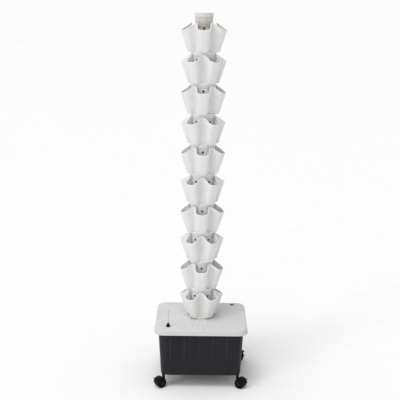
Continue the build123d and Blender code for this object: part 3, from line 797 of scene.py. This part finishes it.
def tier_shell(settings):
    """The cup walls with a rolled lip, the cup floors and the well in the middle, as one closed skin."""
    form = TierForm(settings.rim_angle)
    wall, lip = settings.wall / MM, settings.lip / MM
    rim = form.rim(0)
    rings = [form.level(2.2, 0), form.level(0.6, 0.5), form.level(0, 2.2)]
    for share in (0.35, 0.7):
        rings.append(form.at(0, [2.2 + (z - 5) * share for z in rim]))
    roll = [(0, -2.4), (0.1, -1.3), (0.5, -0.45), (1.3, 0.1), (lip / 2, 0.3)]
    roll += [(lip - 1.3, 0.1), (lip - 0.5, -0.45), (lip - 0.1, -1.3), (lip, -2.2)]
    roll += [(lip - 0.6, -3.0), (lip - 1.6, -3.5), (wall, -5.0)]
    for inset, lift in roll:
        rings.append(form.at(inset, form.rim(inset, lift)))
    inner = form.rim(wall, -5.0)
    for share in (0.6, 0.25):
        rings.append(form.at(wall, [5 + (z - 5) * share for z in inner]))
    rings += [form.level(wall, 5), form.level(wall + 0.7, 3.3), form.level(wall + 1.8, 2.5)]
    turns = [atan2(y, x) for x, y in star(CUP_FOOT, wall)]

    def ring(radius, height):
        return [(radius * cos(a), radius * sin(a), height) for a in turns]

    def well(height, inset=0):
        return ring(WELL_FOOT - inset + (WELL_TOP - WELL_FOOT) * height / WELL_HEIGHT, height)

    bore_foot = WELL_FOOT - WELL_WALL
    rings += [ring(WELL_FOOT + 1, 2.5), ring(WELL_FOOT + 0.5, 3.2)]
    rings += [well(height) for height in (25, 55, 85, WELL_HEIGHT - 1.4)]
    rings += [ring(WELL_TOP - 0.4, WELL_HEIGHT - 0.3), ring(WELL_TOP - 1.5, WELL_HEIGHT)]
    rings += [ring(WELL_TOP - 2.6, WELL_HEIGHT - 0.3)]
    rings += [well(height, WELL_WALL) for height in (WELL_HEIGHT - 1.4, 85, 55, 25, 4.5)]
    rings += [ring(bore_foot, 3.2), ring(bore_foot - 1.4, 2.5)]
    rings += [ring(PIPE_HOLE + 0.7, 2.5), ring(PIPE_HOLE, 1.9), ring(PIPE_HOLE, 0)]
    return finished("tier_shell", *skin(rings, closed=True))


def tier_neck():
    """The neck that reaches down into the tier below, with its locating lip."""
    profile = [(44, 2.4), (57.5, 2.4), (57.5, 0), (52.5, -NECK_HEIGHT), (48.6, -NECK_HEIGHT)]
    profile += [(48.6, -NECK_HEIGHT - NECK_LIP), (46.2, -NECK_HEIGHT - NECK_LIP)]
    profile += [(46.2, 2.5 - NECK_HEIGHT), (50, 2.5 - NECK_HEIGHT)]
    profile += [(54.9, 0.1), (44, 0.1)]
    return finished("tier_neck", *turned(softened_profile(profile, 0.9)))


def tier_webs():
    """The upright webs that part the cups behind the valleys."""
    parts = []
    for cup in range(CUPS):
        angle = (cup + 0.5) * CUP_STEP - pi / 2
        out = Vector((cos(angle), sin(angle), 0))
        aside = Vector((-sin(angle), cos(angle), 0))
        rings = []
        for height, half in ((1, 1.5), (103.6, 1.5), (104.7, 1.1), (105, 0.5)):
            inner = 36.5 + 15 * height / WELL_HEIGHT
            outer = 42 + 15 * height / CUP_TIP_HEIGHT
            corners = ((inner, -half), (outer, -half), (outer, half), (inner, half))
            rings.append([tuple(out * r + aside * s + Vector((0, 0, height))) for r, s in corners])
        parts.append(skin(rings))
    return finished("tier_webs", *joined(parts))


def tier_mesh(settings):
    """One tier, with a cup to the front and its cup floors at height 0."""
    ports, drains, drips = [], [], []
    for cup in range(CUPS):
        angle = cup * CUP_STEP - pi / 2
        ahead = Vector((cos(angle), sin(angle), 0))
        port = Vector((0, 0, PORT_HEIGHT))
        ports.append(peg(settings.port / MM, port + ahead * 42, port + ahead * 60))
        for holes, circle_radius in ((drains, DRAIN_CIRCLE), (drips, DRIP_CIRCLE)):
            spot = ahead * circle_radius
            holes.append(peg(DRAIN_HOLE, spot - Vector((0, 0, 4)), spot + Vector((0, 0, 8)), 20))
    shell = carved(tier_shell(settings), ports + drains + drips)
    neck = carved(tier_neck(), drains)
    return merged("planting_tier", [shell, neck, tier_webs()])


class TOWER_OT_tiers(Operator):
    """Make the stack of planting tiers"""

    bl_idname = "tower.tiers"
    bl_label = "Planting Tiers"

    def execute(self, context):
        mesh = tier_mesh(context.scene.tower_tiers)
        for level, (node, foot) in enumerate(zip(TIER_NODES, TIER_FOOT)):
            turn = CUP_STEP / 2 if level % 2 == 0 else 0
            spot = Matrix.Translation((0, 0, foot * MM)) @ Matrix.Rotation(turn, 4, "Z")
            dressed(f"{node}_shell", mesh, node, spot)
        return {"FINISHED"}


# Tank and lid


def rounded_reach(angle, half_x, half_y, corner):
    """How far a rounded rectangle reaches from its middle in a direction."""
    c, s = abs(cos(angle)), abs(sin(angle))
    if c * (half_y - corner) >= s * half_x:
        return half_x / c
    if s * (half_x - corner) >= c * half_y:
        return half_y / s
    centre_x, centre_y = half_x - corner, half_y - corner
    along = c * centre_x + s * centre_y
    return along + sqrt(along**2 - centre_x**2 - centre_y**2 + corner**2)


class BoxForm:
    """Rings of a rounded box, with columns at even turns."""

    def __init__(self, length, width, corner, columns):
        self.size = (length / 2, width / 2, corner)
        self.turns = [2 * pi * step / columns for step in range(columns)]

    def reach(self, offset):
        half_x, half_y, corner = self.size
        return [rounded_reach(a, half_x + offset, half_y + offset, corner + offset) for a in self.turns]

    def ring(self, offset, height):
        """The outline grown by an offset, at a height."""
        return [(r * cos(a), r * sin(a), height) for r, a in zip(self.reach(offset), self.turns)]

    def round(self, radius, height):
        """A circle with the same columns."""
        return [(radius * cos(a), radius * sin(a), height) for a in self.turns]


def lid_mesh(settings):
    """The lid: a beaded skirt, a rounded shoulder, a rayed top and the hub with its socket."""
    form = BoxForm(LID_LENGTH, LID_WIDTH, LID_CORNER, settings.ray_count * 10)
    foot = LID_TOP - LID_SKIRT
    socket_top, socket_floor = LID_TOP + HUB_RISE, LID_TOP + TOWER_STAND - NECK_HEIGHT
    rings = [form.ring(-LID_THICKNESS, foot + 0.6), form.ring(0.6 - LID_THICKNESS, foot)]
    rings += [form.ring(0.9, foot), form.ring(1.5, foot + 0.6)]
    rings += [form.ring(1.5, foot + 3.2), form.ring(1.1, foot + 3.9), form.ring(0.25, foot + 4.3)]
    rings += [form.ring(0, foot + 5), form.ring(0, LID_TOP - LID_SHOULDER)]
    for step in range(1, 7):
        a = pi / 2 * step / 6
        rings.append(form.ring(-LID_SHOULDER * (1 - cos(a)), LID_TOP - LID_SHOULDER * (1 - sin(a))))
    rings.append(form.ring(-14, LID_TOP))
    edge = form.reach(-16)
    rise = settings.ray_rise / MM
    slope = HUB_RISE / (HUB_FOOT - HUB_TOP)
    for share, fade in ((0, 0), (0.02, 0.4), (0.05, 1), (0.5, 1), (0.8, 1), (0.9, 0.9), (1, 0.6)):
        ring = []
        for a, far in zip(form.turns, edge):
            r = far + (78 - far) * share
            ray = 0.5 + 0.5 * cos(settings.ray_count * a)
            level = LID_TOP + max(0, HUB_FOOT - r) * slope
            ring.append((r * cos(a), r * sin(a), level + rise * fade * ray))
        rings.append(ring)
    rings += [form.round(HUB_TOP + 2, socket_top - 0.2), form.round(HUB_TOP, socket_top)]
    rings += [form.round(57.6, socket_top), form.round(56.6, socket_top - 0.6)]
    rings += [form.round(53.1, socket_floor), form.round(49.8, socket_floor)]
    rings += [form.round(49.2, socket_floor - 0.6)]
    under = socket_floor - LID_THICKNESS
    rings += [form.round(49.2, under), form.round(56.1, under), form.round(56.1, TANK_TOP)]
    rings += [form.ring(-LID_THICKNESS - 1.5, TANK_TOP), form.ring(-LID_THICKNESS, TANK_TOP - 1.5)]
    block = finished("tank_lid", *skin(rings, closed=True))
    cutters = [peg(GROMMET_RADIUS, (*GROMMET_SPOT, TANK_TOP - 4), (*GROMMET_SPOT, LID_TOP + 6), 48)]
    for step in range(4):
        a = step * pi / 2 - pi / 2
        out, aside = Vector((cos(a), sin(a))), Vector((-sin(a), cos(a)))
        rings = []
        for z in (TANK_TOP - 2, LID_TOP + 8):
            corners = [out * (SLOT_CIRCLE + x) + aside * y for x, y in ((-2, -6), (2, -6), (2, 6), (-2, 6))]
            rings.append([(spot.x, spot.y, z) for spot in corners])
        cutters.append(skin(rings))
    return carved(block, cutters)


class TOWER_OT_lid(Operator):
    """Make the lid of the water tank"""

    bl_idname = "tower.lid"
    bl_label = "Tank Lid"

    def execute(self, context):
        dressed("tank_lid_shell", lid_mesh(context.scene.tower_lid), "tank_lid")
        return {"FINISHED"}


def draft(height):
    """How far the tank wall has spread at a height above the tank's foot."""
    return TANK_DRAFT * height / TANK_HEIGHT


def rib_bar(middle, aside, out, settings):
    """One upright rib on a wall, rounded at its edges and its foot."""
    half, rise = settings.rib_width / MM / 2, settings.rib_rise / MM
    section = [(-half - 1, -1.2), (-half - 1, 0), (-half + 1.4, 0.8), (-half + 3, 1)]
    section += [(-x, y) for x, y in reversed(section)]
    rings = []
    foot, top = RIB_START, TANK_HEIGHT - 3.5
    for height, lift in ((foot, 0.1), (foot + 1, 0.6), (foot + 3, 1), (120, 1), (170, 1), (top, 1)):
        ring = []
        for across, proud in section:
            depth = rise * proud * lift if proud > 0 else proud
            spot = Vector(middle) + Vector(aside) * across + Vector(out) * (draft(height) + depth)
            ring.append((spot.x, spot.y, TANK_BOTTOM + height))
        rings.append(ring)
    return skin(rings)


def tank_mesh(settings):
    """The tank: a drafted tub with a rounded foot, a rolled rim and upright ribs."""
    form = BoxForm(TANK_LENGTH, TANK_WIDTH, TANK_CORNER, 240)
    rings = []
    for step in range(6):
        a = pi / 2 * step / 5
        height = TANK_FOOT_ROUND * (1 - cos(a))
        rings.append(form.ring(draft(height) - TANK_FOOT_ROUND * (1 - sin(a)), TANK_BOTTOM + height))
    for height in (60, 120, 180, 222):
        rings.append(form.ring(draft(height), TANK_BOTTOM + height))
    rim = TANK_DRAFT + TANK_RIM_REACH
    rings += [form.ring(TANK_DRAFT + 0.6, TANK_TOP - 3.4), form.ring(TANK_DRAFT + 1.6, TANK_TOP - 3)]
    rings += [form.ring(rim - 0.8, TANK_TOP - 3), form.ring(rim, TANK_TOP - 2.2)]
    rings += [form.ring(rim, TANK_TOP - 0.8), form.ring(rim - 0.8, TANK_TOP)]
    bore = TANK_DRAFT - TANK_WALL
    rings += [form.ring(bore + 0.8, TANK_TOP), form.ring(bore, TANK_TOP - 0.8)]
    for height in (180, 120, 60):
        rings.append(form.ring(draft(height) - TANK_WALL, TANK_BOTTOM + height))
    for step in range(6):
        a = pi / 2 * step / 5
        height = TANK_FLOOR + TANK_FOOT_ROUND * (1 - sin(a))
        inset = TANK_WALL + TANK_FOOT_ROUND * (1 - cos(a))
        rings.append(form.ring(draft(height) - inset, TANK_BOTTOM + height))
    parts = [skin(rings)]
    half_length, half_width = TANK_LENGTH / 2, TANK_WIDTH / 2
    for step in range(5):
        x = RIB_PITCH * (step - 2)
        parts.append(rib_bar((x, -half_width, 0), (1, 0, 0), (0, -1, 0), settings))
        parts.append(rib_bar((x, half_width, 0), (-1, 0, 0), (0, 1, 0), settings))
    for step in range(4):
        y = RIB_PITCH * (step - 1.5)
        parts.append(rib_bar((half_length, y, 0), (0, 1, 0), (1, 0, 0), settings))
        parts.append(rib_bar((-half_length, y, 0), (0, -1, 0), (-1, 0, 0), settings))
    pad_foot, pad_top = TANK_BOTTOM - CASTER_PAD_HEIGHT, TANK_BOTTOM + 6.5
    pad = [(0.01, pad_foot), (CASTER_PAD, pad_foot), (CASTER_PAD, pad_top), (0.01, pad_top)]
    pad = softened_profile(pad, 0.8)
    for x in (-CASTER_SPOT[0], CASTER_SPOT[0]):
        for y in (-CASTER_SPOT[1], CASTER_SPOT[1]):
            parts.append(turned(pad, 40, (x, y)))
    return finished("tank", *joined(parts))


class TOWER_OT_tank(Operator):
    """Make the water tank"""

    bl_idname = "tower.tank"
    bl_label = "Water Tank"

    def execute(self, context):
        dressed("tank_shell", tank_mesh(context.scene.tower_tank), "tank")
        return {"FINISHED"}


# Top cup and its lid


class TOWER_OT_top(Operator):
    """Make the top cup and its lid"""

    bl_idname = "tower.top"
    bl_label = "Top Cup and Lid"

    def execute(self, context):
        floor, rim = TOP_SEAT - CUP_DROP, TOP_SEAT + CUP_RISE
        cup = [(8.3, floor), (36, floor), (36, TOP_SEAT - 6), (48.6, TOP_SEAT - 6), (48.6, TOP_SEAT)]
        cup += [(53.4, TOP_SEAT), (53.4, TOP_SEAT - 6), (55.4, TOP_SEAT - 6), (55.4, TOP_SEAT + 3)]
        cup += [(38.6, TOP_SEAT + 3), (39.4, rim - 17.6), (38.2, rim - 17.4), (38.3, rim), (35.8, rim)]
        cup += [(33.5, floor + 2.5), (11, floor + 2.5)]
        cup += [(11, floor + 28), (8.3, floor + 28)]
        block = finished("top_cup", *turned(softened_profile(cup, 1.1), 120))
        drips = []
        for step in range(12):
            a = 2 * pi * step / 12
            x, y = 22.25 * cos(a), 22.25 * sin(a)
            drips.append(peg(2, (x, y, floor - 3), (x, y, floor + 6), 16))
        dressed("top_cup_shell", carved(block, drips), "top_cup")
        lid = [(0.01, rim), (38.7, rim), (38.7, rim - 17), (41, rim - 17), (41, rim + 4), (36, rim + 4)]
        lid += [(35, rim + 3.4), (0.01, rim + 3.4)]
        dressed("top_lid_shell", finished("top_lid", *turned(softened_profile(lid, 1.2), 120)), "top_lid")
        return {"FINISHED"}


# Fittings


class TOWER_OT_float(Operator):
    """Make the water level float with its rod and guide cone"""

    bl_idname = "tower.float"
    bl_label = "Level Float"

    def execute(self, context):
        spot, foot = FLOAT_SPOT, TANK_TOP - GUIDE_DROP
        guide = [(2.8, foot), (6, foot), (6, LID_TOP), (10.5, LID_TOP), (10.5, LID_TOP + 2)]
        guide += [(9, LID_TOP + 2.6), (6.4, LID_TOP + 11), (6.4, LID_TOP + 12.4), (4.9, LID_TOP + 13.2)]
        guide += [(4.2, LID_TOP + 18), (2.8, LID_TOP + 18)]
        mesh = finished("float_guide", *turned(softened_profile(guide, 0.5), 48, spot))
        dressed("float_guide_cone", mesh, "float_guide")
        low, high = (corner.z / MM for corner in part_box("float_rod"))
        stem = [(0.01, low), (2.5, low), (2.5, high), (0.01, high)]
        mesh = finished("float_rod", *turned(softened_profile(stem, 0.5), 24, spot))
        dressed("float_rod_stem", mesh, "float_rod")
        tip = [(0.01, high), (3.6, high), (3.6, high + 4.5), (2.7, high + 7.2), (0.01, high + 8)]
        mesh = finished("float_rod_tip", *turned(softened_profile(tip, 0.9), 32, spot))
        dressed("float_rod_tip_cap", mesh, "float_rod_tip")
        softened_nodes(["float_body"], context.scene.tower_fittings.edge)
        return {"FINISHED"}


class TOWER_OT_grommet(Operator):
    """Make the rubber grommet of the cable hole"""

    bl_idname = "tower.grommet"
    bl_label = "Cable Grommet"

    def execute(self, context):
        ring = [(6, TANK_TOP - 2), (11, TANK_TOP - 2), (11, TANK_TOP)]
        ring += [(GROMMET_RADIUS, TANK_TOP), (GROMMET_RADIUS, LID_TOP)]
        ring += [(11, LID_TOP), (10.2, LID_TOP + 1.6), (8, LID_TOP + 2), (6, LID_TOP + 2)]
        mesh = finished("cable_grommet", *turned(softened_profile(ring, 0.7), 64, GROMMET_SPOT))
        dressed("cable_grommet_ring", mesh, "cable_grommet")
        return {"FINISHED"}


def wheel_mesh(side):
    """A dished caster wheel with a rounded tread and a hub, about the local Y axis."""
    inside, outside = 3.2, 19.2
    profile = [(3.05, inside), (20.6, inside), (22, inside + 1.6), (22, outside - 1.8), (20.4, outside)]
    profile += [(17.6, outside), (17, outside - 0.8), (16.4, outside - 0.8), (15.8, outside - 3)]
    profile += [(9.6, outside - 3), (9, outside - 2.2), (7, outside - 1.5), (3.05, outside - 1.5)]
    points, faces = turned(softened_profile(profile, 0.5), 72)
    points = [(x, side * z, y) for x, y, z in points]
    return finished("caster_wheel", points, faces)


class TOWER_OT_casters(Operator):
    """Make the twin-wheel casters with their hoods, brakes, axles and stems"""

    bl_idname = "tower.casters"
    bl_label = "Casters"

    def execute(self, context):
        edge = context.scene.tower_fittings.edge
        wheels = {"a": wheel_mesh(-1), "b": wheel_mesh(1)}
        for corner in CORNERS:
            low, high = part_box(f"caster_{corner}_axle")
            stem_low, stem_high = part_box(f"caster_{corner}_stem")
            axle = (low + high) / 2
            swivel = (stem_low + stem_high) / 2
            turn = atan2(axle.y - swivel.y, axle.x - swivel.x)
            spot = Matrix.Translation(axle) @ Matrix.Rotation(turn, 4, "Z")
            for side, mesh in wheels.items():
                node = f"caster_{corner}_wheel_{side}"
                dressed(f"{node}_tread", mesh, node, spot)
            softened_nodes([f"caster_{corner}_{piece}" for piece in ("hood", "brake")], edge)
            softened_nodes([f"caster_{corner}_{piece}" for piece in ("axle", "stem")], edge / 2)
        return {"FINISHED"}


class TOWER_OT_waterworks(Operator):
    """Make the pump and the riser pipe inside the tower"""

    bl_idname = "tower.waterworks"
    bl_label = "Pump and Riser"

    def execute(self, context):
        edge = context.scene.tower_fittings.edge
        inside = [node for node in frame["nodes"] if node.startswith(("pump_", "riser_"))]
        softened_nodes(sorted(inside), edge / 2)
        return {"FINISHED"}


# Stage

FLOOR_REACH = 40


def soft_sun(name, toward, spread, strength, tint):
    """An even studio light from a direction, with soft shadows."""
    lamp = bpy.data.lights.new(name, "SUN")
    lamp.angle = spread
    lamp.energy = strength
    lamp.color = tint
    holder = bpy.data.objects.new(name, lamp)
    holder.rotation_euler = Vector(toward).to_track_quat("Z", "Y").to_euler()
    bpy.context.scene.collection.objects.link(holder)


class TOWER_OT_stage(Operator):
    """Set the floor, the lights and the camera"""

    bl_idname = "tower.stage"
    bl_label = "Stage"

    def execute(self, context):
        scene, stage = context.scene, context.scene.tower_stage
        floor_mesh = bpy.data.meshes.new("studio_floor")
        corners = [(x * FLOOR_REACH, y * FLOOR_REACH, 0) for x, y in ((-1, -1), (1, -1), (1, 1), (-1, 1))]
        floor_mesh.from_pydata(corners, [], [(0, 1, 2, 3)])
        floor = bpy.data.objects.new("studio_floor", floor_mesh)
        scene.collection.objects.link(floor)
        floor_mesh.materials.append(moulded("studio_floor", stage.floor_colour, 0.8, 0.0, 0.01, 0.2))

        world = bpy.data.worlds.new("studio")
        scene.world = world
        world.use_nodes = True
        nodes, links = world.node_tree.nodes, world.node_tree.links
        parts = nodes.new("ShaderNodeSeparateXYZ")
        links.new(nodes.new("ShaderNodeTexCoord").outputs["Generated"], parts.inputs["Vector"])
        sides = ranged(world.node_tree, parts.outputs["X"], 0.78, 0.50, -0.6, 0.6)
        glow = ranged(world.node_tree, parts.outputs["Z"], 0.97, 1, 0.07, 0.14)
        links.new(sides.outputs["Result"], glow.inputs["To Max"])
        links.new(glow.outputs["Result"], nodes["Background"].inputs["Strength"])
        nodes["Background"].inputs["Color"].default_value = (1, 1, 1, 1)

        soft_sun("key", (-0.70, -0.60, 0.42), radians(20), 0.60, (1, 0.99, 0.975))
        soft_sun("fill", (-0.12, -1.00, 0.12), radians(30), 0.10, (1, 0.995, 0.99))
        soft_sun("top", (-0.16, -0.36, 1), radians(30), 1.05, (1, 1, 1))

        camera = bpy.data.cameras.new("photo_camera")
        camera.lens = stage.lens
        camera.sensor_width = 36
        camera.shift_x = stage.slide
        holder = bpy.data.objects.new("photo_camera", camera)
        holder.location = (0, -stage.distance, stage.height)
        ahead = Vector((0, cos(stage.pitch), -sin(stage.pitch)))
        holder.rotation_mode = "QUATERNION"
        holder.rotation_quaternion = ahead.to_track_quat("-Z", "Y") @ Quaternion((0, 0, 1), stage.roll)
        scene.collection.objects.link(holder)
        scene.camera = holder
        scene.view_settings.view_transform = "Standard"
        return {"FINISHED"}


STEPS = (
    TOWER_OT_tank,
    TOWER_OT_lid,
    TOWER_OT_tiers,
    TOWER_OT_top,
    TOWER_OT_float,
    TOWER_OT_grommet,
    TOWER_OT_casters,
    TOWER_OT_waterworks,
    TOWER_OT_stage,
)

SETTINGS = {
    "tower_tiers": TierSettings,
    "tower_lid": LidSettings,
    "tower_tank": TankSettings,
    "tower_top": TopSettings,
    "tower_fittings": FittingSettings,
    "tower_stage": StageSettings,
}


class TOWER_PT_panel(Panel):
    """The tower's sizes, colours and steps"""

    bl_label = "Hydroponic Tower"
    bl_idname = "TOWER_PT_panel"
    bl_space_type = "VIEW_3D"
    bl_region_type = "UI"
    bl_category = "Tower"

    def draw(self, context):
        for name, group in SETTINGS.items():
            box = self.layout.box()
            for prop in group.__annotations__:
                box.prop(getattr(context.scene, name), prop)
        for step in STEPS:
            self.layout.operator(step.bl_idname)


def register():
    """Add the settings, the steps and the panel."""
    for kind in (*SETTINGS.values(), *STEPS, TOWER_PT_panel):
        bpy.utils.register_class(kind)
    for name, group in SETTINGS.items():
        setattr(bpy.types.Scene, name, PointerProperty(type=group))


def unregister():
    """Take the settings, the steps and the panel away again."""
    for name in SETTINGS:
        delattr(bpy.types.Scene, name)
    for kind in reversed((*SETTINGS.values(), *STEPS, TOWER_PT_panel)):
        bpy.utils.unregister_class(kind)


def main():
    """Run every step in order."""
    register()
    bpy.ops.tower.tank()
    bpy.ops.tower.lid()
    bpy.ops.tower.tiers()
    bpy.ops.tower.top()
    bpy.ops.tower.float()
    bpy.ops.tower.grommet()
    bpy.ops.tower.casters()
    bpy.ops.tower.waterworks()
    bpy.ops.tower.stage()


if __name__ == "__main__":
    main()
